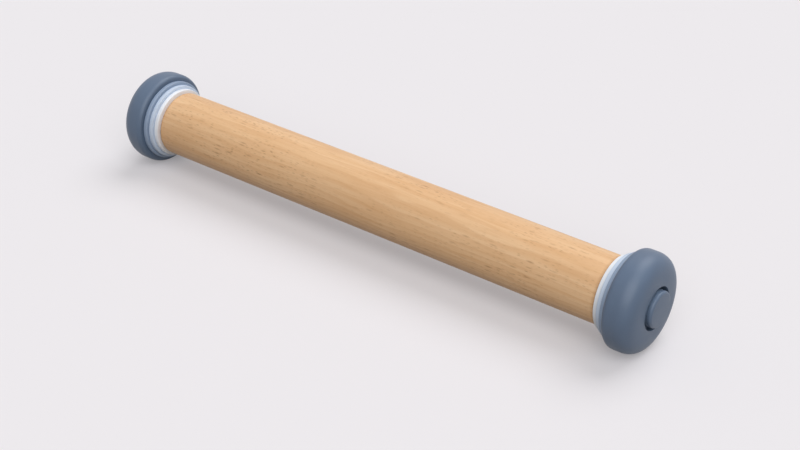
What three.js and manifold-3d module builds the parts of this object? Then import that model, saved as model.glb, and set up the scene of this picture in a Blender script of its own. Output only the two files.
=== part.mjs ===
// Adjustable rolling pin: a beech roller between two stacks of thickness discs.
// Each stack is threaded on the shank of an end knob that screws into the roller.
// Millimetres. The pin lies along X, centred on the origin, and +Z is up.

import * as THREE from "three";
import { mergeVertices } from "three/addons/utils/BufferGeometryUtils.js";
import Module from "manifold-3d";

const wasm = await Module();
wasm.setup();

// Roller
const rollerDiameter = 45;
const rollerLength = 362;
const rollerEdgeRadius = 2.2;

// Thin discs, in order from the roller outward: rise is the dough thickness that a disc leaves
const thinDiscs = [
  { name: "disc_2mm", rise: 2, colour: 0xf3f6fc },
  { name: "disc_4mm", rise: 4, colour: 0xcddbee },
  { name: "disc_6mm", rise: 6, colour: 0x96a8c1 },
];
const thinDiscThickness = 3.1;
const thinDiscEdgeRadius = 0.6;

// End disc: a barrel with a rounded inner edge and a full crown, cored from the inner side
const endDiscRise = 10;
const innerEdgeLength = 3.6;
const innerEdgeDrop = 2.3;
const barrelLength = 4.8;
const crownHeight = 11.7;
const crownFullness = 6;
const endDiscWall = 2.6;
const ribCount = 8;
const ribThickness = 1.8;
const ribSetback = 0.6;

// Knob: a head in a recess of the end disc, a hollow shank and a cap that closes it
const knobSkirtWall = 1;
const knobHeadWall = 1.6;
const knobGrooveWidth = 2.2;
const knobProud = 3;
const shankDiameter = 16;
const shankWall = 2.5;
const shankTipWall = 2.5;
const shankTipChamfer = 1;
const threadEngagement = 10;
const capSink = 0.6;
const capEdgeRadius = 1.6;
const capPlugLength = 7;
const capPlugWall = 1.6;
const sealWireDiameter = 2.4;

// Threaded bush let into the roller
const bushWall = 3.2;
const bushEndWall = 2.5;
const bushFlangeOverhang = 3.5;
const bushFlangeThickness = 2.2;
const bushTipRoom = 2;
const finCount = 6;
const finHeight = 1.4;
const finWidth = 2.4;
const finLength = 22;

// Clearances, and the facets of round forms (even, so that the pin rests on a flat)
const faceGap = 0.2;
const boreClearance = 0.3;
const largeFacets = 40;
const smallFacets = 32;
const overcut = 1;
const mergeTolerance = 1e-3;

// Radii and places that follow. Along the axis, 0 is the roller's end face and outward is positive.
const rollerRadius = rollerDiameter / 2;
const endDiscRadius = rollerRadius + endDiscRise;
const shankRadius = shankDiameter / 2;
const shankBoreRadius = shankRadius + boreClearance;
const shankCoreRadius = shankRadius - shankWall;
const sealRadius = shankBoreRadius + sealWireDiameter / 2;
const sealSeatRadius = sealRadius + sealWireDiameter / 2 + boreClearance;
const sealSeatDepth = sealWireDiameter + faceGap;
const knobRadius = sealSeatRadius + knobSkirtWall;
const recessRadius = knobRadius + knobGrooveWidth;
const discPitch = thinDiscThickness + faceGap;
const endDiscInnerFace = faceGap + thinDiscs.length * discPitch;
const barrelStart = endDiscInnerFace + innerEdgeLength;
const crownStart = barrelStart + barrelLength;
const recessRim = crownStart + crownHeight * Math.sqrt(1 - (recessRadius / endDiscRadius) ** crownFullness);
const knobFace = recessRim + knobProud;
const capSeat = recessRim - capSink;
const knobUnderside = capSeat - knobHeadWall - sealSeatDepth;
const recessFloor = knobUnderside - faceGap;
const bushBoreDepth = knobUnderside + threadEngagement + bushTipRoom;
const bushLength = bushBoreDepth + bushEndWall;
const bushRadius = shankBoreRadius + bushWall;
const bushFlangeRadius = bushRadius + bushFlangeOverhang;

// Points on an elliptical arc of a profile: angle 0 points away from the axis, 90 degrees outward along it.
function arc(along, radius, reachAlong, reachRadius, startDegrees, endDegrees, steps) {
  const points = [];
  for (let step = 0; step <= steps; step += 1) {
    const degrees = THREE.MathUtils.lerp(startDegrees, endDegrees, step / steps);
    const angle = THREE.MathUtils.degToRad(degrees);
    points.push([along + reachAlong * Math.sin(angle), radius + reachRadius * Math.cos(angle)]);
  }
  return points;
}

// Points on a crown, a superellipse that starts on its widest radius and ends on a smaller one.
function crown(start, height, widestRadius, lastRadius, steps) {
  const lastAngle = Math.acos((lastRadius / widestRadius) ** (crownFullness / 2));
  const points = [];
  for (let step = 0; step <= steps; step += 1) {
    const angle = (lastAngle * step) / steps;
    const radius = widestRadius * Math.cos(angle) ** (2 / crownFullness);
    points.push([start + height * Math.sin(angle), radius]);
  }
  return points;
}

// A solid of revolution about X, its flats on the true radius. Its profile holds [along, radius] points
// and is closed here.
function revolve(profile, facets) {
  const onAxis = profile[0][1] === 0;
  const closed = onAxis ? profile : [...profile, profile[0]];
  const spread = 1 / Math.cos(Math.PI / facets);
  const points = closed.map(([along, radius]) => new THREE.Vector2(radius * spread, along));
  const geometry = new THREE.LatheGeometry(points, facets, Math.PI / facets);
  geometry.rotateZ(-Math.PI / 2);
  return geometry;
}

// A bar along X, standing out from the axis between two radii, at an angle about the axis.
function radialBar(startAlong, endAlong, innerRadius, outerRadius, width, angle) {
  const geometry = new THREE.BoxGeometry(endAlong - startAlong, width, outerRadius - innerRadius);
  geometry.translate((startAlong + endAlong) / 2, 0, (innerRadius + outerRadius) / 2);
  geometry.rotateX(angle);
  return geometry;
}

function toSolid(geometry) {
  const bare = new THREE.BufferGeometry();
  bare.setAttribute("position", geometry.getAttribute("position"));
  bare.setIndex(geometry.index);
  const merged = mergeVertices(bare, mergeTolerance);
  const vertProperties = merged.getAttribute("position").array;
  const triVerts = new Uint32Array(merged.index.array);
  return new wasm.Manifold(new wasm.Mesh({ numProp: 3, vertProperties, triVerts }));
}

function toGeometry(solid) {
  const mesh = solid.getMesh();
  const geometry = new THREE.BufferGeometry();
  geometry.setAttribute("position", new THREE.BufferAttribute(mesh.vertProperties, 3));
  geometry.setIndex(new THREE.BufferAttribute(mesh.triVerts, 1));
  geometry.computeVertexNormals();
  return geometry;
}

function beech() {
  return new THREE.MeshStandardMaterial({ color: 0xe6bb8f, roughness: 0.6, metalness: 0 });
}

function plastic(colour) {
  return new THREE.MeshStandardMaterial({ color: colour, roughness: 0.5, metalness: 0 });
}

function slatePlastic() {
  return plastic(0x667891);
}

function whiteNylon() {
  return plastic(0xe8e5db);
}

function silicone() {
  return new THREE.MeshStandardMaterial({ color: 0xcdd2d8, roughness: 0.7, metalness: 0 });
}

// The fins of one bush, grown by a clearance where they cut their slots in the wood.
function finBars(startAlong, endAlong, clearance) {
  const bars = [];
  for (let fin = 0; fin < finCount; fin += 1) {
    const angle = (2 * Math.PI * fin) / finCount;
    const tip = bushRadius + finHeight + clearance;
    const width = finWidth + 2 * clearance;
    bars.push(toSolid(radialBar(startAlong, endAlong, shankRadius + bushWall / 2, tip, width, angle)));
  }
  return bars;
}

// The roller turns about X with a stepped blind bore and its fin slots at each end.
function rollerGeometry() {
  const half = rollerLength / 2;
  const boreFloor = bushLength + faceGap;
  const boreRadius = bushRadius + boreClearance;
  const flangeFloor = bushFlangeThickness + faceGap;
  const flangeRadius = bushFlangeRadius + boreClearance;
  const edge = arc(
    half - rollerEdgeRadius,
    rollerRadius - rollerEdgeRadius,
    rollerEdgeRadius,
    rollerEdgeRadius,
    0,
    90,
    3,
  );
  const rightHalf = [
    ...edge,
    [half, flangeRadius],
    [half - flangeFloor, flangeRadius],
    [half - flangeFloor, boreRadius],
    [half - boreFloor, boreRadius],
    [half - boreFloor, 0],
  ];
  const leftHalf = rightHalf.map(([along, radius]) => [-along, radius]).reverse();
  let solid = toSolid(revolve([...leftHalf, ...rightHalf], largeFacets));
  const slotStart = half - bushFlangeThickness - finLength - faceGap;
  const slotEnd = half - flangeFloor + overcut;
  const slots = [
    ...finBars(slotStart, slotEnd, boreClearance),
    ...finBars(-slotEnd, -slotStart, boreClearance),
  ];
  for (const slot of slots) solid = solid.subtract(slot);
  return toGeometry(solid);
}

// A blind cup with a flange that lies flush with the wood, and fins that stop it turning.
function threadBushGeometry() {
  const profile = [
    [-bushLength, 0],
    [-bushLength, bushRadius],
    [-bushFlangeThickness, bushRadius],
    [-bushFlangeThickness, bushFlangeRadius],
    [0, bushFlangeRadius],
    [0, shankBoreRadius],
    [-bushBoreDepth, shankBoreRadius],
    [-bushBoreDepth, 0],
  ];
  const finStart = -bushFlangeThickness - finLength;
  let solid = toSolid(revolve(profile, smallFacets));
  for (const fin of finBars(finStart, -bushFlangeThickness / 2, 0)) solid = solid.add(fin);
  return toGeometry(solid);
}

// A flat ring with a rounded rim, at its place in the stack.
function thinDiscGeometry(index, rise) {
  const innerFace = faceGap + index * discPitch;
  const outerFace = innerFace + thinDiscThickness;
  const edgeRadius = Math.min(thinDiscEdgeRadius, thinDiscThickness / 2);
  const edgeCentre = rollerRadius + rise - edgeRadius;
  const profile = [
    [innerFace, shankBoreRadius],
    ...arc(innerFace + edgeRadius, edgeCentre, edgeRadius, edgeRadius, -90, 0, 2),
    ...arc(outerFace - edgeRadius, edgeCentre, edgeRadius, edgeRadius, 0, 90, 2),
    [outerFace, shankBoreRadius],
  ];
  return revolve(profile, largeFacets);
}

// The end disc's moulding core: the space between its rim wall, crown, knob recess and hub.
function endDiscCore() {
  const mouth = endDiscInnerFace - overcut;
  const coreRadius = endDiscRadius - innerEdgeDrop - endDiscWall;
  const cupRadius = recessRadius + endDiscWall;
  const hubRadius = shankBoreRadius + endDiscWall;
  const profile = [
    [mouth, hubRadius],
    [mouth, coreRadius],
    ...crown(crownStart, crownHeight - endDiscWall, coreRadius, cupRadius, 6),
    [recessFloor - endDiscWall, cupRadius],
    [recessFloor - endDiscWall, hubRadius],
  ];
  return toSolid(revolve(profile, largeFacets));
}

// The end disc keeps radial ribs where its core leaves them, set back from the open side.
function endDiscGeometry() {
  const profile = [
    [endDiscInnerFace, shankBoreRadius],
    ...arc(barrelStart, endDiscRadius - innerEdgeDrop, innerEdgeLength, innerEdgeDrop, -90, 0, 4),
    ...crown(crownStart, crownHeight, endDiscRadius, recessRadius, 9),
    [recessFloor, recessRadius],
    [recessFloor, shankBoreRadius],
  ];
  let core = endDiscCore();
  for (let rib = 0; rib < ribCount; rib += 1) {
    const angle = (2 * Math.PI * (rib + 0.5)) / ribCount;
    const ribStart = endDiscInnerFace + ribSetback;
    const bar = radialBar(ribStart, recessRim, shankRadius, endDiscRadius, ribThickness, angle);
    core = core.subtract(toSolid(bar));
  }
  return toGeometry(toSolid(revolve(profile, largeFacets)).subtract(core));
}

// A ring of round section, lying on the recess floor round the shank.
function sealRingGeometry() {
  const wireRadius = sealWireDiameter / 2;
  const centre = knobUnderside + wireRadius;
  const profile = arc(centre, sealRadius, wireRadius, wireRadius, -180, 180, 6);
  profile.pop();
  return revolve(profile, smallFacets);
}

// The knob's body: a head with a seat for the seal ring under it, and the hollow shank.
function knobGeometry() {
  const tip = -threadEngagement;
  const profile = [
    [tip, 0],
    [tip, shankRadius - shankTipChamfer],
    [tip + shankTipChamfer, shankRadius],
    [knobUnderside + sealSeatDepth, shankRadius],
    [knobUnderside + sealSeatDepth, sealSeatRadius],
    [knobUnderside, sealSeatRadius],
    [knobUnderside, knobRadius],
    [capSeat, knobRadius],
    [capSeat, shankCoreRadius],
    [tip + shankTipWall, shankCoreRadius],
    [tip + shankTipWall, 0],
  ];
  return revolve(profile, smallFacets);
}

// The cap: a round face with a soft edge, on a hollow plug that enters the shank.
function knobCapGeometry() {
  const underside = capSeat + faceGap;
  const plugRadius = shankCoreRadius - boreClearance;
  const plugEnd = underside - capPlugLength;
  const edgeRadius = Math.min(capEdgeRadius, knobFace - underside);
  const profile = [
    [underside, 0],
    [underside, plugRadius - capPlugWall],
    [plugEnd, plugRadius - capPlugWall],
    [plugEnd, plugRadius],
    [underside, plugRadius],
    [underside, knobRadius],
    ...arc(knobFace - edgeRadius, knobRadius - edgeRadius, edgeRadius, edgeRadius, 0, 90, 4),
    [knobFace, 0],
  ];
  return revolve(profile, smallFacets);
}

function addPiece(group, name, geometry, material) {
  const mesh = new THREE.Mesh(geometry, material);
  mesh.name = name;
  group.add(mesh);
}

// One end of the pin, built outward along +X from the roller's end face.
function buildEnd(side) {
  const end = new THREE.Group();
  addPiece(end, `${side}_thread_bush`, threadBushGeometry(), whiteNylon());
  thinDiscs.forEach(({ name, rise, colour }, index) => {
    addPiece(end, `${side}_${name}`, thinDiscGeometry(index, rise), plastic(colour));
  });
  addPiece(end, `${side}_disc_10mm`, endDiscGeometry(), slatePlastic());
  addPiece(end, `${side}_seal_ring`, sealRingGeometry(), silicone());
  addPiece(end, `${side}_knob`, knobGeometry(), slatePlastic());
  addPiece(end, `${side}_knob_cap`, knobCapGeometry(), slatePlastic());
  return end;
}

const pin = new THREE.Group();
addPiece(pin, "roller", rollerGeometry(), beech());

const rightEnd = buildEnd("right");
rightEnd.position.x = rollerLength / 2;
pin.add(rightEnd);

const leftEnd = buildEnd("left");
leftEnd.position.x = -rollerLength / 2;
leftEnd.rotation.z = Math.PI;
pin.add(leftEnd);

export default pin;
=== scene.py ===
import math

import bmesh
import bpy
from mathutils import Color, Matrix, Vector


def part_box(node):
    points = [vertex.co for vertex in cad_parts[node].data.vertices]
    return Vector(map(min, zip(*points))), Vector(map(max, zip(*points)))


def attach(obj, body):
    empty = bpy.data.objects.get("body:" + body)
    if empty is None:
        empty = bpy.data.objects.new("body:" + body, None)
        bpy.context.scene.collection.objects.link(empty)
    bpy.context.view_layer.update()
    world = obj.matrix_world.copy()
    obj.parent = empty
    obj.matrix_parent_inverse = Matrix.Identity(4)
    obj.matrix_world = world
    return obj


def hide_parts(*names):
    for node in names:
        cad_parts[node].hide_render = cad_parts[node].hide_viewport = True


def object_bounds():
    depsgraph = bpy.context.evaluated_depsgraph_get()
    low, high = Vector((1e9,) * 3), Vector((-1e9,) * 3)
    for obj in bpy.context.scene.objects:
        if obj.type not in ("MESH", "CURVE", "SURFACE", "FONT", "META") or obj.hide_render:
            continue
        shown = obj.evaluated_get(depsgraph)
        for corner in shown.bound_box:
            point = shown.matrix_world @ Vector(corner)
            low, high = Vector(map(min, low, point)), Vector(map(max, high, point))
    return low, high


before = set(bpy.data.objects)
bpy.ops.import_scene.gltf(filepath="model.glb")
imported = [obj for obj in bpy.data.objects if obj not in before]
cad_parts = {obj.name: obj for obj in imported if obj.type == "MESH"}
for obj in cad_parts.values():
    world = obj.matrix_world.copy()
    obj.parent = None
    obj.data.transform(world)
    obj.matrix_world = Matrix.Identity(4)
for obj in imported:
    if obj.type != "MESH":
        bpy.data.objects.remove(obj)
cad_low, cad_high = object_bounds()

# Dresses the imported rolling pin: a finer piece for each solid, a pale floor, soft light and the camera.

MM = 0.001
TURN = 2 * math.pi

# Turned forms: segments round the axis, steps of a rounding, its largest share of a side, tolerances
ROUND_SEGMENTS = 160
SMALL_SEGMENTS = 96
FILLET_STEPS = 5
FILLET_LIMIT = 0.49
SHARP_ANGLE = math.radians(32)
MERGE_DISTANCE = 0.001 * MM
SAME_RADIUS = 0.01 * MM

# Clearances between faces and in bores
FACE_GAP = 0.2 * MM
BORE_CLEARANCE = 0.3 * MM

# Roller
ROLLER_EDGE = 2.2 * MM
SEAT_GAP = 0.15 * MM
SEAT_EDGE = 0.3 * MM

# Shank of the knob, and the bore for it in the discs and the bush
SHANK_RADIUS = 8 * MM
SHANK_CORE_RADIUS = 5.5 * MM
SHANK_TIP_WALL = 2.5 * MM
SHANK_TIP_CHAMFER = 1 * MM
SHANK_BORE = SHANK_RADIUS + BORE_CLEARANCE
CORE_MOUTH_EDGE = 0.3 * MM
CORE_FLOOR_FILLET = 1 * MM

# Thin discs
DISC_EDGE = 0.6 * MM
DISC_BORE_EDGE = 0.35 * MM

# End disc
INNER_EDGE_LENGTH = 3.6 * MM
INNER_EDGE_DROP = 2.3 * MM
INNER_EDGE_STEPS = 12
BARREL_LENGTH = 4.8 * MM
CROWN_HEIGHT = 11.7 * MM
CROWN_FULLNESS = 6
CROWN_STEPS = 40
END_DISC_WALL = 2.6 * MM
RECESS_RADIUS = 14.2 * MM
RECESS_DEPTH = 5 * MM
RECESS_EDGE = 0.7 * MM
POCKET_FILLET = 1 * MM
RIB_COUNT = 8
RIB_TURNED = 0.5
RIB_THICKNESS = 1.8 * MM
RIB_SETBACK = 0.6 * MM
OVERCUT = 1 * MM

# Seal ring and its seat under the knob's head
SEAL_WIRE = 2.4 * MM
SEAL_STEPS = 24
SEAL_SEAT_RADIUS = SHANK_BORE + SEAL_WIRE + BORE_CLEARANCE
SEAL_SEAT_DEPTH = SEAL_WIRE + FACE_GAP
SEAL_SEAT_FILLET = 0.3 * MM
SEAL_SEAT_EDGE = 0.2 * MM

# Knob's head and its cap
KNOB_EDGE = 0.4 * MM
CAP_EDGE = 1.6 * MM
CAP_UNDER_EDGE = 0.25 * MM
CAP_CROWN = 0.25 * MM
CAP_PLUG_WALL = 1.6 * MM
CAP_PLUG_EDGE = 0.3 * MM

# Coarse thread of shank and bush: crest and flank are shares of the lead, the lead-in of the runout
THREAD_LEAD = 4 * MM
THREAD_HEIGHT = 0.9 * MM
THREAD_STEP = 0.2 * MM
THREAD_RUNOUT = 3 * MM
THREAD_LEAD_IN = 0.2
THREAD_CREST = 0.3
THREAD_FLANK = 0.2

# Bush and its fins, which lie in slots of the wood
BUSH_BORE_DEPTH = 37.4 * MM
BUSH_WALL = 3.2 * MM
BUSH_RADIUS = SHANK_BORE + BUSH_WALL
BUSH_END_FILLET = 0.5 * MM
BUSH_FLANGE = 2.2 * MM
BUSH_FLANGE_EDGE = 0.3 * MM
BUSH_FLANGE_BACK_EDGE = 0.2 * MM
FIN_COUNT = 6
FIN_HEIGHT = 1.4 * MM
FIN_ROOT = SHANK_RADIUS + BUSH_WALL / 2
FIN_TIP = BUSH_RADIUS + FIN_HEIGHT
FIN_WIDTH = 2.4 * MM
FIN_LENGTH = 22 * MM

# Flat map of the wood for baking: left, right, bottom and top of its sheets
BAKE_MAP = "OFBake"
SKIN_SHEET = (0.01, 0.82, 0.01, 0.99)
LEFT_BORE_SHEET = (0.84, 0.99, 0.01, 0.49)
RIGHT_BORE_SHEET = (0.84, 0.99, 0.51, 0.99)

# Photograph: camera fitted to the outlines, with the pin's centre as its target
FOCAL_PIXELS = 1629.1
IMAGE_WIDTH = 800
SENSOR_WIDTH = 36
CLIP_START = 0.01
CAMERA_AZIMUTH = math.radians(38.181)
CAMERA_ELEVATION = math.radians(29.877)
CAMERA_DISTANCE = 1.08194
CAMERA_PAN = math.radians(0.749)
CAMERA_TILT = math.radians(-0.885)

# Floor and light: the lift is the share of the floor's brightness that no shadow takes away
FLOOR_SIZE = 12
FLOOR_LIFT = 0.25
FLOOR_ROUGHNESS = 0.9
WORLD_SHARE = 0.3
BACKDROP_STRENGTH = 1
# Soft lamps: azimuth, elevation and softness in degrees, and share of the floor's light
LAMPS = {
    "back": (172, 58, 44, 0.34),
    "front": (40, 45, 60, 0.36),
}

# Patterns of the wood, in cells a metre: few along the grain and many across it
FIBRES = dict(scale=(34, 1100, 1100), detail=5, roughness=0.62)
STREAKS = dict(scale=(14, 230, 230), detail=4, roughness=0.55, distortion=0.4)
PATCHES = dict(scale=(9, 42, 42), detail=3, offset=(3.1, 0.7, 0.2))
FLECK_CROWDS = dict(scale=(13, 60, 60), detail=2, offset=(1.7, 2.3, 0.4))
FINE_FLECKS = dict(scale=(250, 1150, 1150), core=0.1, rim=0.42, rare=0.3)
COARSE_FLECKS = dict(scale=(105, 540, 540), core=0.1, rim=0.4, rare=0.45)

# Growth rings about a far pith
PITH_SLOPE = 0.05
PITH_ASIDE = 12 * MM
PITH_BELOW = 75 * MM
RING_SPACING = 4.2 * MM
RING_WANDER = dict(scale=(8, 40, 40), detail=3)
RING_WANDER_REACH = 16 * MM

# Spans of the wood: a pattern's low and high, and what they turn into
LATE_WOOD = (0.3, 0.9, 0, 1)
YEAR_END = (0.9, 1, 1, 0)
WOOD_TONE = (0.4, 0.84, 0, 1)
FIBRE_TINT = (0.5, 0.85, 0, 0.4)
FLECK_CROWDING = (0.42, 0.64, 0.22, 1)
# The span below makes the darkening at the wood's ends uneven along the fibres. That darkening is partly
# oil and partly painted shade.
END_OIL_AND_SHADE_FIBRES = (0.2, 0.6, 0.6, 1)
WOOD_ROUGHNESS = (0.3, 0.75, 0.46, 0.62)

# Shares and relief of the wood's patterns
STREAK_SHARE = 0.7
PATCH_SHARE = 0.5
RING_SHARE = 0.26
FLECK_SHARE = 0.75
# The next two set how dark and how long the wood's ends get: partly oil taken up by the end grain, partly
# painted shade where the wood meets the discs
END_OIL_AND_SHADE_SHARE = 0.5
END_OIL_AND_SHADE_LENGTH = 3 * MM
FIBRE_HEIGHT = 0.5
FLECK_DEPTH = 0.6
WOOD_RELIEF = 0.08 * MM

# Moulded plastic, with cells and spans as in the wood: eroded grain, mottling and rubbed edges
GRAIN = dict(scale=(2600, 2600, 2600), detail=2, roughness=0.6)
GRAIN_RELIEF = 0.03 * MM
MOTTLE = dict(scale=(90, 90, 90), detail=3)
MOTTLE_TINT = (0.3, 0.7, 0, 1)
MOTTLE_ROUGHNESS = (0.25, 0.75, -0.05, 0.06)
MOTTLE_DARK = 0.95
RUB = dict(scale=(420, 420, 420), detail=4, roughness=0.65)
RUB_SPAN = (0.42, 0.7, 0, 1)
WEAR_REACH = 0.7 * MM
WEAR_SHARE = 0.5
WEAR_PALE = 0.22
WEAR_POLISH = 0.1
EDGE_SAMPLES = 6
EDGE_TURN = (0.82, 0.99, 1, 0)
EDGE_POINTINESS = (0.5, 0.52, 0, 1)

# Shine
SPECULAR = 0.5
PLASTIC_ROUGHNESS = 0.42
NYLON_ROUGHNESS = 0.45
SILICONE_ROUGHNESS = 0.6

# Full brightness of a display colour, and the colour sockets of a Mix node
DISPLAY_FULL = 255
MIX_FIRST = 6
MIX_SECOND = 7
MIX_RESULT = 2


def linear(red, green, blue):
    """A display colour, 0 to 255, as the linear colour that a shader takes."""
    display = Color((red / DISPLAY_FULL, green / DISPLAY_FULL, blue / DISPLAY_FULL))
    return [*display.from_srgb_to_scene_linear(), 1]


def darker(colour, share):
    """A colour with only a share of its light."""
    return [channel * share for channel in colour[:3]] + [1]


def paler(colour, share):
    """A colour moved by a share towards white."""
    return [channel + (1 - channel) * share for channel in colour[:3]] + [1]


WHITE = (1, 1, 1, 1)
FLOOR_COLOUR = linear(237, 234, 237)
FLOOR_BOUNCE = linear(122, 117, 112)
WOOD_PALE = linear(241, 202, 158)
WOOD_DEEP = linear(227, 180, 131)
WOOD_RING = linear(207, 151, 99)
WOOD_FLECK = linear(158, 101, 60)
SLATE = linear(94, 112, 136)
NYLON = linear(232, 229, 219)
SILICONE = linear(205, 210, 216)
# Thin discs: material slot and colour
THIN_DISCS = {
    "disc_2mm": ("palest_plastic", linear(243, 246, 252)),
    "disc_4mm": ("pale_plastic", linear(205, 219, 238)),
    "disc_6mm": ("mid_plastic", linear(150, 168, 193)),
}


def right_box(node):
    """Inner face, outer face and radius of a node of the right end."""
    low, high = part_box(f"right_{node}")
    return low.x, high.x, high.z


# Places along the pin, from the frame
roller_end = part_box("roller")[1].x
roller_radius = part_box("roller")[1].z
bush_start, bush_face, bush_flange_radius = right_box("thread_bush")
shank_tip, cap_seat, knob_radius = right_box("knob")
seal_inner, seal_outer, seal_radius = right_box("seal_ring")
end_disc_inner, end_disc_rim, end_disc_radius = right_box("disc_10mm")

# What follows from them
seat_radius = bush_flange_radius + SEAT_GAP
bore_edge = seat_radius + SEAT_EDGE
flange_back = bush_face - BUSH_FLANGE
barrel_start = end_disc_inner + INNER_EDGE_LENGTH
crown_start = barrel_start + BARREL_LENGTH
recess_floor = end_disc_rim - RECESS_DEPTH


# Profiles hold (along, radius) points in metres, outward along +X at the right end.


def rounded_corner(corner, before, after, fillet):
    """Points of a corner's rounding, where before and after lead to the corners next to it."""
    half = before.angle(after) / 2
    reach = min(fillet / math.tan(half), FILLET_LIMIT * before.length, FILLET_LIMIT * after.length)
    start = corner + before.normalized() * reach
    end = corner + after.normalized() * reach
    inward = (before.normalized() + after.normalized()).normalized()
    centre = corner + inward * reach / math.cos(half)
    points = []
    for step in range(FILLET_STEPS + 1):
        spoke = (start - centre).lerp(end - centre, step / FILLET_STEPS)
        points.append(tuple(centre + spoke.normalized() * (start - centre).length))
    return points


def filleted(corners):
    """A profile from (along, radius, fillet radius) corners, closed on itself or ended on the axis."""
    points = []
    for index, (along, radius, fillet) in enumerate(corners):
        if fillet == 0:
            points.append((along, radius))
            continue
        corner = Vector((along, radius))
        before = Vector(corners[index - 1][:2]) - corner
        after = Vector(corners[(index + 1) % len(corners)][:2]) - corner
        points += rounded_corner(corner, before, after, fillet)
    return points


def crown(height, widest, last, steps):
    """The superellipse of the end disc's crown, from its widest radius to its last one."""
    last_angle = math.acos((last / widest) ** (CROWN_FULLNESS / 2))
    points = []
    for step in range(steps + 1):
        angle = last_angle * step / steps
        radius = widest * math.cos(angle) ** (2 / CROWN_FULLNESS)
        points.append((crown_start + height * math.sin(angle), radius))
    return points


def stretch(start, end, radius):
    """Evenly spaced points of a straight stretch that carries a thread."""
    count = max(2, round(abs(end - start) / THREAD_STEP))
    return [(start + (end - start) * step / count, radius) for step in range(count + 1)]


def thread_wave(along, angle):
    """Height of a right-hand trapezoid thread, 0 to 1, at a place on the shank."""
    phase = (along / THREAD_LEAD - angle / TURN) % 1
    from_crest = min(phase, 1 - phase)
    return min(1, max(0, (THREAD_CREST / 2 + THREAD_FLANK - from_crest) / THREAD_FLANK))


def turned_mesh(name, profile, segments, relief=None):
    """A mesh of a profile turned about X, which closes on itself unless it starts on the axis.

    A relief, where there is one, gives the radius at (along, radius, angle).
    """
    vertices = []
    rings = []
    for along, radius in profile:
        if radius == 0:
            rings.append([len(vertices)] * segments)
            vertices.append((along, 0, 0))
            continue
        rings.append(range(len(vertices), len(vertices) + segments))
        for segment in range(segments):
            angle = TURN * segment / segments
            out = relief(along, radius, angle) if relief else radius
            vertices.append((along, out * math.cos(angle), out * math.sin(angle)))
    if profile[0][1] != 0:
        rings.append(rings[0])
    faces = []
    for first, second in zip(rings, rings[1:]):
        for here in range(segments):
            there = (here + 1) % segments
            corners = (first[here], first[there], second[there], second[here])
            faces.append(list(dict.fromkeys(corners)))
    mesh = bpy.data.meshes.new(name)
    mesh.from_pydata(vertices, [], faces)
    return mesh


def shade(mesh):
    """Smooth faces, with the edges between faces at a clear angle kept sharp."""
    mesh.polygons.foreach_set("use_smooth", [True] * len(mesh.polygons))
    mesh.set_sharp_from_angle(angle=SHARP_ANGLE)
    mesh.update()


def link(name, data):
    """A new object of the scene."""
    made = bpy.data.objects.new(name, data)
    bpy.context.scene.collection.objects.link(made)
    return made


def merge_points(mesh):
    """Joins points that lie on each other."""
    work = bmesh.new()
    work.from_mesh(mesh)
    bmesh.ops.remove_doubles(work, verts=work.verts, dist=MERGE_DISTANCE)
    work.to_mesh(mesh)
    work.free()


def combine(name, body, tools, operation):
    """The mesh of a body with the tools cut away or joined on. The tools are used up."""
    holder = link(name, body)
    for tool in tools:
        modifier = holder.modifiers.new("combine", "BOOLEAN")
        modifier.operation = operation
        modifier.solver = "MANIFOLD"
        modifier.object = tool
    graph = bpy.context.evaluated_depsgraph_get()
    made = bpy.data.meshes.new_from_object(holder.evaluated_get(graph))
    made.materials.clear()
    merge_points(made)
    for used in [holder, *tools]:
        bpy.data.objects.remove(used)
    return made


def radial_bars(count, turned, reach, radii, width):
    """Blocks that stand out from the axis in a ring, turned by a share of their spacing."""
    half = width / 2
    corners = [(x, y, z) for x in reach for y in (-half, half) for z in radii]
    faces = [(0, 1, 3, 2), (4, 6, 7, 5), (0, 4, 5, 1), (2, 3, 7, 6), (0, 2, 6, 4), (1, 5, 7, 3)]
    bars = []
    for index in range(count):
        mesh = bpy.data.meshes.new("bar")
        mesh.from_pydata(corners, [], faces)
        mesh.transform(Matrix.Rotation(TURN * (index + turned) / count, 4, "X"))
        bars.append(link(f"bar_{index}", mesh))
    return bars


def roller_profile():
    """The wood's outline, alike at both ends: blind bore, seat of the bush's flange, rounded edge."""
    seat_floor = roller_end - BUSH_FLANGE - FACE_GAP
    bore_radius = BUSH_RADIUS + BORE_CLEARANCE
    bore_floor = bush_start - FACE_GAP
    right = [
        (roller_end, roller_radius, ROLLER_EDGE),
        (roller_end, seat_radius, SEAT_EDGE),
        (seat_floor, seat_radius, 0),
        (seat_floor, bore_radius, 0),
        (bore_floor, bore_radius, 0),
        (bore_floor, 0, 0),
    ]
    left = [(-along, radius, fillet) for along, radius, fillet in reversed(right)]
    return filleted(left + right)


def fin_slots(side):
    """The slots of the bush's fins at one end of the wood, 1 for the right end and -1 for the left."""
    start = flange_back - FIN_LENGTH - FACE_GAP
    reach = sorted((side * start, side * flange_back))
    radii = (FIN_ROOT, FIN_TIP + BORE_CLEARANCE)
    return radial_bars(FIN_COUNT, 0, reach, radii, FIN_WIDTH + 2 * BORE_CLEARANCE)


def underside_turn(point, near):
    """Share of a turn about X from the underside to a point, in the turn that holds a share near it."""
    if math.hypot(point.y, point.z) < MERGE_DISTANCE:
        return near
    share = math.atan2(point.y, -point.z) / TURN
    return share + round(near - share)


def skin_run(point):
    """Share of the skin's outline from its left end to a point."""
    reach = roller_end + roller_radius - bore_edge
    fall = roller_radius - math.hypot(point.y, point.z)
    return 0.5 + math.copysign(abs(point.x) + fall, point.x) / reach / 2


def bore_run(point):
    """Share of a bore's outline from its mouth to a point."""
    reach = roller_end - bush_start + FACE_GAP + bore_edge
    return (roller_end - abs(point.x) + bore_edge - math.hypot(point.y, point.z)) / reach


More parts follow.
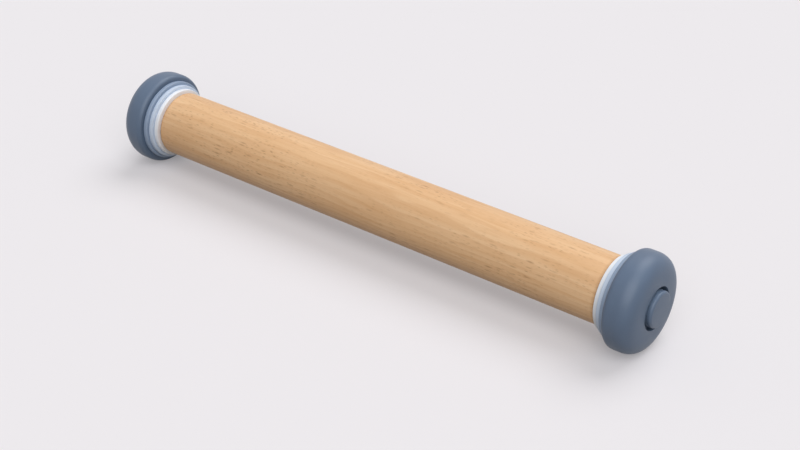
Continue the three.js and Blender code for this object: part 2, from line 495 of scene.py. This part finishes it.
def sheet_of(middle):
    """The sheet of the map and the outline's run for a face of the wood."""
    if math.hypot(middle.y, middle.z) > bore_edge:
        return SKIN_SHEET, skin_run
    return (RIGHT_BORE_SHEET if middle.x > 0 else LEFT_BORE_SHEET), bore_run


def unroll(mesh):
    """Gives the wood a flat map: its skin and each bore as sheets cut open along the underside."""
    places = []
    for face in mesh.polygons:
        (left, right, bottom, top), run = sheet_of(face.center)
        middle_turn = underside_turn(face.center, 0.5)
        for index in face.vertices:
            point = mesh.vertices[index].co
            places.append(left + (right - left) * underside_turn(point, middle_turn))
            places.append(bottom + (top - bottom) * run(point))
    mesh.uv_layers.new(name=BAKE_MAP).data.foreach_set("uv", places)


def roller_mesh():
    """The wood: a bored roller with slots for the fins, and its flat map."""
    body = turned_mesh("roller_mesh", roller_profile(), ROUND_SEGMENTS)
    mesh = combine("roller_mesh", body, fin_slots(1) + fin_slots(-1), "DIFFERENCE")
    unroll(mesh)
    return mesh


def thread_bush_mesh(name):
    """The bush: a flanged blind cup with the thread on its wall and fins round it."""
    bore_floor = bush_face - BUSH_BORE_DEPTH
    outside = filleted(
        [
            (bush_start, 0, 0),
            (bush_start, BUSH_RADIUS, BUSH_END_FILLET),
            (flange_back, BUSH_RADIUS, 0),
            (flange_back, bush_flange_radius, BUSH_FLANGE_BACK_EDGE),
            (bush_face, bush_flange_radius, BUSH_FLANGE_EDGE),
            (bush_face, SHANK_BORE, 0),
        ]
    )
    wall = stretch(bush_face, bore_floor, SHANK_BORE)

    def relief(along, radius, angle):
        if abs(radius - SHANK_BORE) > SAME_RADIUS:
            return radius
        mouth_room = max(0, (bush_face - along) / THREAD_RUNOUT - THREAD_LEAD_IN)
        floor_room = max(0, along - bore_floor) / THREAD_RUNOUT
        depth = THREAD_HEIGHT * min(1, mouth_room, floor_room)
        return radius - depth * thread_wave(along - shank_tip + THREAD_LEAD / 2, angle)

    cup = turned_mesh(name, outside + wall[1:] + [(bore_floor, 0)], SMALL_SEGMENTS, relief)
    reach = (flange_back - FIN_LENGTH, bush_face - BUSH_FLANGE / 2)
    fins = radial_bars(FIN_COUNT, 0, reach, (FIN_ROOT, FIN_TIP), FIN_WIDTH)
    return combine(name, cup, fins, "UNION")


def thin_disc_mesh(node):
    """A function that makes a thin disc: a flat ring with rounded rims."""
    inner, outer, radius = right_box(node)
    profile = filleted(
        [
            (inner, SHANK_BORE, DISC_BORE_EDGE),
            (inner, radius, DISC_EDGE),
            (outer, radius, DISC_EDGE),
            (outer, SHANK_BORE, DISC_BORE_EDGE),
        ]
    )
    return lambda name: turned_mesh(name, profile, ROUND_SEGMENTS)


def inner_edge():
    """The end disc's rounded edge, from its inner face to its barrel."""
    points = []
    for step in range(INNER_EDGE_STEPS + 1):
        angle = TURN / 4 * step / INNER_EDGE_STEPS
        along = barrel_start - INNER_EDGE_LENGTH * math.cos(angle)
        points.append((along, end_disc_radius - INNER_EDGE_DROP * (1 - math.sin(angle))))
    return points


def end_disc_outline():
    """The uncored end disc: inner edge, barrel, crown, knob recess and bore."""
    edge = inner_edge()
    dome = crown(CROWN_HEIGHT, end_disc_radius, RECESS_RADIUS + RECESS_EDGE, CROWN_STEPS)
    recess = filleted(
        [
            (*dome[-1], 0),
            (end_disc_rim, RECESS_RADIUS, RECESS_EDGE),
            (recess_floor, RECESS_RADIUS, RECESS_EDGE),
            (recess_floor, SHANK_BORE, DISC_BORE_EDGE),
            (end_disc_inner, SHANK_BORE, DISC_BORE_EDGE),
            (*edge[0], 0),
        ]
    )
    return edge + dome + recess[1:-1]


def end_disc_core():
    """The end disc's core, between its rim wall, crown, recess and hub."""
    mouth = end_disc_inner - OVERCUT
    core_radius = end_disc_radius - INNER_EDGE_DROP - END_DISC_WALL
    cup_radius = RECESS_RADIUS + END_DISC_WALL
    hub_radius = SHANK_BORE + END_DISC_WALL
    floor = recess_floor - END_DISC_WALL
    dome = crown(CROWN_HEIGHT - END_DISC_WALL, core_radius, cup_radius, CROWN_STEPS // 2)
    cup = filleted(
        [
            (*dome[-1], 0),
            (floor, cup_radius, POCKET_FILLET),
            (floor, hub_radius, POCKET_FILLET),
            (mouth, hub_radius, 0),
        ]
    )
    return [(mouth, hub_radius), (mouth, core_radius)] + dome + cup[1:-1]


def end_disc_mesh(name):
    """The end disc, its core cut away except for the ribs."""
    reach = (end_disc_inner + RIB_SETBACK, end_disc_rim)
    ribs = radial_bars(RIB_COUNT, RIB_TURNED, reach, (SHANK_RADIUS, end_disc_radius), RIB_THICKNESS)
    core = combine("core", turned_mesh("core", end_disc_core(), ROUND_SEGMENTS), ribs, "DIFFERENCE")
    body = turned_mesh(name, end_disc_outline(), ROUND_SEGMENTS)
    return combine(name, body, [link("pocket", core)], "DIFFERENCE")


def seal_ring_mesh(name):
    """The seal ring, of round wire."""
    wire = SEAL_WIRE / 2
    centre = (seal_inner + seal_outer) / 2
    profile = []
    for step in range(SEAL_STEPS):
        angle = TURN * step / SEAL_STEPS
        profile.append((centre - wire * math.cos(angle), seal_radius - wire + wire * math.sin(angle)))
    return turned_mesh(name, profile, SMALL_SEGMENTS)


def knob_mesh(name):
    """The knob's body, its shank cut with a coarse thread that runs out towards the head."""
    ceiling = seal_inner + SEAL_SEAT_DEPTH
    core_floor = shank_tip + SHANK_TIP_WALL
    thread_end = ceiling - THREAD_RUNOUT
    tip = [(shank_tip, 0), (shank_tip, SHANK_RADIUS - SHANK_TIP_CHAMFER)]
    shank = stretch(shank_tip + SHANK_TIP_CHAMFER, ceiling, SHANK_RADIUS)
    head = filleted(
        [
            (ceiling, SHANK_RADIUS, 0),
            (ceiling, SEAL_SEAT_RADIUS, SEAL_SEAT_FILLET),
            (seal_inner, SEAL_SEAT_RADIUS, SEAL_SEAT_EDGE),
            (seal_inner, knob_radius, KNOB_EDGE),
            (cap_seat, knob_radius, KNOB_EDGE),
            (cap_seat, SHANK_CORE_RADIUS, CORE_MOUTH_EDGE),
            (core_floor, SHANK_CORE_RADIUS, CORE_FLOOR_FILLET),
            (core_floor, 0, 0),
        ]
    )

    def relief(along, radius, angle):
        if abs(radius - SHANK_RADIUS) > SAME_RADIUS or along > thread_end:
            return radius
        depth = THREAD_HEIGHT * min(1, (thread_end - along) / THREAD_RUNOUT)
        return radius - depth * (1 - thread_wave(along - shank_tip, angle))

    return turned_mesh(name, tip + shank + head[1:], SMALL_SEGMENTS, relief)


def knob_cap_mesh(name):
    """The cap: a round, slightly crowned face on a hollow plug."""
    plug_end, face, radius = right_box("knob_cap")
    underside = cap_seat + FACE_GAP
    plug_radius = SHANK_CORE_RADIUS - BORE_CLEARANCE
    profile = filleted(
        [
            (underside, 0, 0),
            (underside, plug_radius - CAP_PLUG_WALL, 0),
            (plug_end, plug_radius - CAP_PLUG_WALL, CAP_PLUG_EDGE),
            (plug_end, plug_radius, CAP_PLUG_EDGE),
            (underside, plug_radius, 0),
            (underside, radius, CAP_UNDER_EDGE),
            (face - CAP_CROWN, radius, CAP_EDGE),
            (face, 0, 0),
        ]
    )
    return turned_mesh(name, profile, SMALL_SEGMENTS)


class Graph:
    """The node graph of a material or a world."""

    def __init__(self, owner):
        owner.use_nodes = True
        self.owner = owner
        self.nodes = owner.node_tree.nodes
        self.links = owner.node_tree.links

    def add(self, kind, inputs=None, **settings):
        """A new node with its settings, its inputs fed by values or by other nodes' outputs."""
        node = self.nodes.new(f"ShaderNode{kind}")
        for key, value in settings.items():
            setattr(node, key, value)
        for key, value in (inputs or {}).items():
            self.feed(node.inputs[key], value)
        return node

    def feed(self, socket, value):
        """Links an output to a socket, or sets the socket to a plain value."""
        if isinstance(value, bpy.types.NodeSocket):
            self.links.new(value, socket)
        else:
            socket.default_value = value

    def math(self, operation, first, second=0.0, clamp=False):
        """The result of one operation on two values."""
        node = self.add("Math", {0: first, 1: second}, operation=operation, use_clamp=clamp)
        return node.outputs[0]

    def blend(self, share, first, second):
        """A colour that goes from the first to the second as the share goes from 0 to 1."""
        node = self.add("Mix", data_type="RGBA")
        self.feed(node.inputs["Factor"], share)
        self.feed(node.inputs[MIX_FIRST], first)
        self.feed(node.inputs[MIX_SECOND], second)
        return node.outputs[MIX_RESULT]

    def range(self, value, low, high, to_low, to_high):
        """A value carried over from one span to another, kept within it."""
        inputs = {"Value": value, "From Min": low, "From Max": high, "To Min": to_low, "To Max": to_high}
        return self.add("MapRange", inputs).outputs["Result"]

    def place(self):
        """A point of the piece in metres, as a vector."""
        return self.add("TexCoord").outputs["Object"]

    def place_parts(self):
        """A point of the piece in metres, as outputs X, Y and Z."""
        return self.add("SeparateXYZ", {"Vector": self.place()}).outputs

    def coordinates(self, scale, offset=(0, 0, 0)):
        """Places for a pattern with so many cells a metre along X, Y and Z."""
        mapping = self.add("Mapping", {"Vector": self.place(), "Scale": scale, "Location": offset})
        return mapping.outputs["Vector"]

    def noise(self, scale, detail=3, roughness=0.5, distortion=0.0, offset=(0, 0, 0)):
        """A cloudy pattern, about 0 to 1."""
        inputs = {
            "Vector": self.coordinates(scale, offset),
            "Scale": 1,
            "Detail": detail,
            "Roughness": roughness,
            "Distortion": distortion,
        }
        return self.add("TexNoise", inputs).outputs["Fac"]

    def bump(self, height, distance):
        """The normal of a relief whose height of 1 is a distance in metres."""
        return self.add("Bump", {"Height": height, "Distance": distance}).outputs["Normal"]

    def edges(self, reach):
        """Closeness to an outer edge, 0 to 1: there the normal averaged over a reach differs most."""
        averaged = self.add("Bevel", {"Radius": reach}, samples=EDGE_SAMPLES).outputs["Normal"]
        surface = self.add("NewGeometry").outputs
        inputs = {0: averaged, 1: surface["Normal"]}
        likeness = self.add("VectorMath", inputs, operation="DOT_PRODUCT").outputs["Value"]
        outer = self.range(surface["Pointiness"], *EDGE_POINTINESS)
        return self.math("MULTIPLY", self.range(likeness, *EDGE_TURN), outer)

    def seen_rays(self):
        """1 for rays that are seen, directly or by way of a shiny or clear surface, and else 0."""
        path = self.add("LightPath").outputs
        indirect = self.math("ADD", path["Is Glossy Ray"], path["Is Transmission Ray"])
        return self.math("ADD", path["Is Camera Ray"], indirect, clamp=True)

    def surface(self, **inputs):
        """Feeds the shader's inputs, named with _ in place of a space."""
        shader = self.nodes["Principled BSDF"]
        for key, value in inputs.items():
            self.feed(shader.inputs[key.replace("_", " ")], value)


def growth_rings(graph):
    """Late wood of growth rings about a far pith that runs a little askew to the pin, 0 to 1."""
    place = graph.place_parts()
    askew = graph.math("MULTIPLY", place["X"], PITH_SLOPE)
    across = graph.math("ADD", graph.math("ADD", place["Y"], askew), PITH_ASIDE)
    deep = graph.math("ADD", place["Z"], PITH_BELOW)
    squares = graph.math("ADD", graph.math("POWER", across, 2), graph.math("POWER", deep, 2))
    wander = graph.math("MULTIPLY", graph.noise(**RING_WANDER), RING_WANDER_REACH)
    from_pith = graph.math("ADD", graph.math("SQRT", squares), wander)
    year = graph.math("FRACT", graph.math("DIVIDE", from_pith, RING_SPACING))
    return graph.math("MULTIPLY", graph.range(year, *LATE_WOOD), graph.range(year, *YEAR_END))


def ray_flecks(graph, scale, core, rim, rare):
    """Short lens-shaped flecks along the grain. Only cells above the rare share carry one."""
    inputs = {"Vector": graph.coordinates(scale), "Scale": 1, "Randomness": 1}
    cells = graph.add("TexVoronoi", inputs)
    chance = graph.add("SeparateColor", {"Color": cells.outputs["Color"]}).outputs["Red"]
    flecks = graph.range(cells.outputs["Distance"], core, rim, 1, 0)
    return graph.math("MULTIPLY", flecks, graph.range(chance, rare, 1, 0, 1))


def all_flecks(graph):
    """Fine and coarse flecks, crowded in some places and sparse in others."""
    fine = ray_flecks(graph, **FINE_FLECKS)
    coarse = ray_flecks(graph, **COARSE_FLECKS)
    crowded = graph.range(graph.noise(**FLECK_CROWDS), *FLECK_CROWDING)
    return graph.math("MULTIPLY", graph.math("MAXIMUM", fine, coarse), crowded)


def wood_colour(graph, fibres, flecks):
    """Pale and deep streaks, with late wood, fibres and flecks in darker tones over them."""
    streaks = graph.math("MULTIPLY", graph.noise(**STREAKS), STREAK_SHARE)
    patches = graph.math("MULTIPLY", graph.noise(**PATCHES), PATCH_SHARE)
    tone = graph.range(graph.math("ADD", streaks, patches), *WOOD_TONE)
    colour = graph.blend(tone, WOOD_PALE, WOOD_DEEP)
    colour = graph.blend(graph.math("MULTIPLY", growth_rings(graph), RING_SHARE), colour, WOOD_RING)
    colour = graph.blend(graph.range(fibres, *FIBRE_TINT), colour, WOOD_RING)
    return graph.blend(graph.math("MULTIPLY", flecks, FLECK_SHARE), colour, WOOD_FLECK)


def ends_oiled_and_shaded(graph, colour, fibres):
    """A wood colour made darker towards the end faces: partly end grain that takes up more oil, partly
    painted shade where the wood meets the discs.
    """
    reach = graph.math("ABSOLUTE", graph.place_parts()["X"])
    # Darker within a short length of each end: partly oil in the end grain, partly painted shade at the
    # joint with the discs
    oil_and_shade = graph.range(reach, roller_end - END_OIL_AND_SHADE_LENGTH, roller_end, 0, END_OIL_AND_SHADE_SHARE)
    uneven = graph.math("MULTIPLY", oil_and_shade, graph.range(fibres, *END_OIL_AND_SHADE_FIBRES))
    return graph.blend(uneven, colour, WOOD_FLECK)


def beech():
    """Oiled beech, its grain along X: growth rings, fibres and short ray flecks."""
    graph = Graph(bpy.data.materials.new("beech"))
    fibres = graph.noise(**FIBRES)
    flecks = all_flecks(graph)
    raised = graph.math("MULTIPLY", fibres, FIBRE_HEIGHT)
    sunk = graph.math("MULTIPLY", flecks, FLECK_DEPTH)
    graph.surface(
        Base_Color=ends_oiled_and_shaded(graph, wood_colour(graph, fibres, flecks), fibres),
        Roughness=graph.range(fibres, *WOOD_ROUGHNESS),
        Normal=graph.bump(graph.math("SUBTRACT", raised, sunk), WOOD_RELIEF),
        Specular_IOR_Level=SPECULAR,
    )
    return graph.owner


def moulded(name, colour, roughness):
    """Moulded plastic with a fine eroded texture, faint mottling and rubbed edges."""
    graph = Graph(bpy.data.materials.new(name))
    mottle = graph.noise(**MOTTLE)
    rub = graph.range(graph.noise(**RUB), *RUB_SPAN)
    wear = graph.math("MULTIPLY", graph.edges(WEAR_REACH), rub)
    tint = graph.blend(graph.range(mottle, *MOTTLE_TINT), darker(colour, MOTTLE_DARK), colour)
    tint = graph.blend(graph.math("MULTIPLY", wear, WEAR_SHARE), tint, paler(colour, WEAR_PALE))
    low, high, smoother, rougher = MOTTLE_ROUGHNESS
    rough = graph.range(mottle, low, high, roughness + smoother, roughness + rougher)
    graph.surface(
        Base_Color=tint,
        Roughness=graph.math("SUBTRACT", rough, graph.math("MULTIPLY", wear, WEAR_POLISH)),
        Normal=graph.bump(graph.noise(**GRAIN), GRAIN_RELIEF),
        Specular_IOR_Level=SPECULAR,
    )
    return graph.owner


def floor_material():
    """A pale matt floor: its shadow is lightened where it is seen, and it throws little light back."""
    graph = Graph(bpy.data.materials.new("floor"))
    seen = graph.seen_rays()
    graph.surface(
        Base_Color=graph.blend(seen, FLOOR_BOUNCE, darker(FLOOR_COLOUR, 1 - FLOOR_LIFT)),
        Roughness=FLOOR_ROUGHNESS,
        Specular_IOR_Level=0,
        Emission_Color=FLOOR_COLOUR,
        Emission_Strength=graph.math("MULTIPLY", seen, FLOOR_LIFT),
    )
    return graph.owner


def dress(node, body, material, mesh):
    """Puts a mesh in a node's place, on the node's body and with the given material."""
    shade(mesh)
    mesh.materials.append(material)
    piece = link(f"{node}_look", mesh)
    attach(piece, body)
    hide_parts(node)


def dress_both(node, body, material, make):
    """Dresses a node of each end with make(), turned half a turn about Z for the left end."""
    for side, angle in (("right", 0), ("left", math.pi)):
        mesh = make(f"{side}_{node}_mesh")
        mesh.transform(Matrix.Rotation(angle, 4, "Z"))
        carrier = body if body == "roller" else f"{side}_{body}"
        dress(f"{side}_{node}", carrier, material, mesh)


def build_roller():
    """The wooden roller."""
    dress("roller", "roller", beech(), roller_mesh())


def build_ends():
    """The bush, discs, seal and knob of both ends."""
    slate = moulded("slate_plastic", SLATE, PLASTIC_ROUGHNESS)
    nylon = moulded("white_nylon", NYLON, NYLON_ROUGHNESS)
    silicone = moulded("silicone", SILICONE, SILICONE_ROUGHNESS)
    for node, (slot, colour) in THIN_DISCS.items():
        dress_both(node, node, moulded(slot, colour, PLASTIC_ROUGHNESS), thin_disc_mesh(node))
    dress_both("thread_bush", "roller", nylon, thread_bush_mesh)
    dress_both("disc_10mm", "disc_10mm", slate, end_disc_mesh)
    dress_both("seal_ring", "seal_ring", silicone, seal_ring_mesh)
    dress_both("knob", "knob", slate, knob_mesh)
    dress_both("knob_cap", "knob", slate, knob_cap_mesh)


def build_floor():
    """A wide floor under the pin."""
    half = FLOOR_SIZE / 2
    mesh = bpy.data.meshes.new("floor")
    corners = [(-half, -half), (half, -half), (half, half), (-half, half)]
    mesh.from_pydata([(x, y, cad_low.z) for x, y in corners], [], [(0, 1, 2, 3)])
    mesh.materials.append(floor_material())
    link("floor", mesh)


def from_angles(azimuth, elevation):
    """The direction from the pin towards an azimuth (0 in front, along -Y) and an elevation."""
    flat = math.cos(elevation)
    return Vector((math.sin(azimuth) * flat, -math.cos(azimuth) * flat, math.sin(elevation)))


def build_world():
    """An even white fill from all round, and the floor's colour where the background is seen."""
    world = bpy.data.worlds.new("studio")
    graph = Graph(world)
    fill = graph.nodes["Background"]
    graph.feed(fill.inputs["Color"], WHITE)
    graph.feed(fill.inputs["Strength"], WORLD_SHARE)
    backdrop = graph.add("Background", {"Color": FLOOR_COLOUR, "Strength": BACKDROP_STRENGTH})
    inputs = {0: graph.seen_rays(), 1: fill.outputs[0], 2: backdrop.outputs[0]}
    either = graph.add("MixShader", inputs)
    graph.feed(graph.nodes["World Output"].inputs["Surface"], either.outputs[0])
    bpy.context.scene.world = world


def build_lamps():
    """Broad soft lamps from behind and from the front."""
    for name, (azimuth, elevation, softness, share) in LAMPS.items():
        height = math.radians(elevation)
        lamp = bpy.data.lights.new(name, "SUN")
        lamp.angle = math.radians(softness)
        lamp.energy = share * math.pi / math.sin(height)
        sun = link(name, lamp)
        sun.rotation_mode = "QUATERNION"
        sun.rotation_quaternion = from_angles(math.radians(azimuth), height).to_track_quat("Z", "Y")


def build_camera():
    """The photograph's camera: it looks at the pin's centre, then pans and tilts a little."""
    back = from_angles(CAMERA_AZIMUTH, CAMERA_ELEVATION)
    forward = -back
    right = forward.cross(Vector((0, 0, 1))).normalized()
    up = right.cross(forward)
    panned = right * math.sin(CAMERA_PAN) + forward * math.cos(CAMERA_PAN)
    right = right * math.cos(CAMERA_PAN) - forward * math.sin(CAMERA_PAN)
    forward = up * math.sin(CAMERA_TILT) + panned * math.cos(CAMERA_TILT)
    up = up * math.cos(CAMERA_TILT) - panned * math.sin(CAMERA_TILT)
    lens = bpy.data.cameras.new("camera")
    lens.sensor_width = SENSOR_WIDTH
    lens.lens = FOCAL_PIXELS / IMAGE_WIDTH * SENSOR_WIDTH
    lens.clip_start = CLIP_START
    camera = link("camera", lens)
    placed = Matrix((right, up, -forward)).transposed().to_4x4()
    placed.translation = back * CAMERA_DISTANCE
    camera.matrix_world = placed
    bpy.context.scene.camera = camera


build_camera()
build_world()
build_lamps()
build_floor()
build_roller()
build_ends()
bpy.context.scene.view_settings.view_transform = "Standard"
